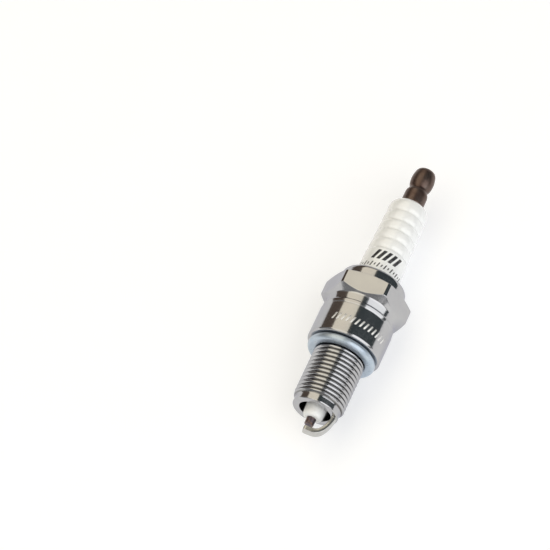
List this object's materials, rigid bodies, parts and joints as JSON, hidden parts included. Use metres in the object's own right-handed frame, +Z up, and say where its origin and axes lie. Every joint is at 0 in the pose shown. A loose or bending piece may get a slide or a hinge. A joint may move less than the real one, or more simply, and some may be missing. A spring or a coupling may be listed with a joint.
{
  "type": "spark plug",
  "caption": "Spark plug with a threaded nickel-plated shell, hexagon, ribbed white insulator, folded gasket and screw-on terminal nut.",
  "frame": {"origin": "on the plug's axis, in the plane of the shell's seat for the gasket", "axes": "+Y along the plug's axis towards the terminal, +Z straight up out of one flat of the hexagon, with the plug lying on the opposite flat; the ground electrode is welded on the +X side"},
  "size_m": [0.0236, 0.085, 0.0208],
  "materials": {
    "shell_nickel": "bright nickel plating",
    "gasket_zinc": "satin zinc plating",
    "insulator_glaze": "white gloss glaze with a bare nose",
    "terminal_bronze": "dark bronze-brown plating",
    "plain_steel": "plain steel",
    "ground_alloy": "bright nickel alloy",
    "centre_alloy": "dark nickel alloy",
    "core_copper": "bare copper",
    "seal_glass": "copper-filled glass",
    "resistor_body": "matt carbon and glass",
    "talc_powder": "pressed powder"
  },
  "bodies": {
    "plug": {"metal_shell": "shell_nickel", "insulator": "insulator_glaze", "centre_electrode": "centre_alloy", "copper_core": "core_copper", "lower_glass_seal": "seal_glass", "resistor": "resistor_body", "upper_glass_seal": "seal_glass", "terminal_stud": "plain_steel", "packing_washer": "plain_steel", "lower_wire_ring": "plain_steel", "talc_ring": "talc_powder", "upper_wire_ring": "plain_steel"},
    "terminal_nut": {"terminal_nut": "terminal_bronze"},
    "gasket": {"gasket": "gasket_zinc"},
    "ground_electrode": {"ground_electrode": "ground_alloy"}
  },
  "joints": [
    {"name": "terminal_unscrew", "type": "slide", "parent": "plug", "child": "terminal_nut", "axis": [0, 1, 0], "range_m": [0, 0.0105]},
    {"name": "gasket_spin", "type": "hinge", "parent": "plug", "child": "gasket", "pos_m": [0, -0.00125, 0], "axis": [0, 1, 0], "continuous": true},
    {"name": "gap_setting", "type": "hinge", "parent": "plug", "child": "ground_electrode", "pos_m": [0.00512, -0.0193, -0.00054], "axis": [-0.1045, 0, -0.9945], "range_deg": [-5, 5]}
  ]
}
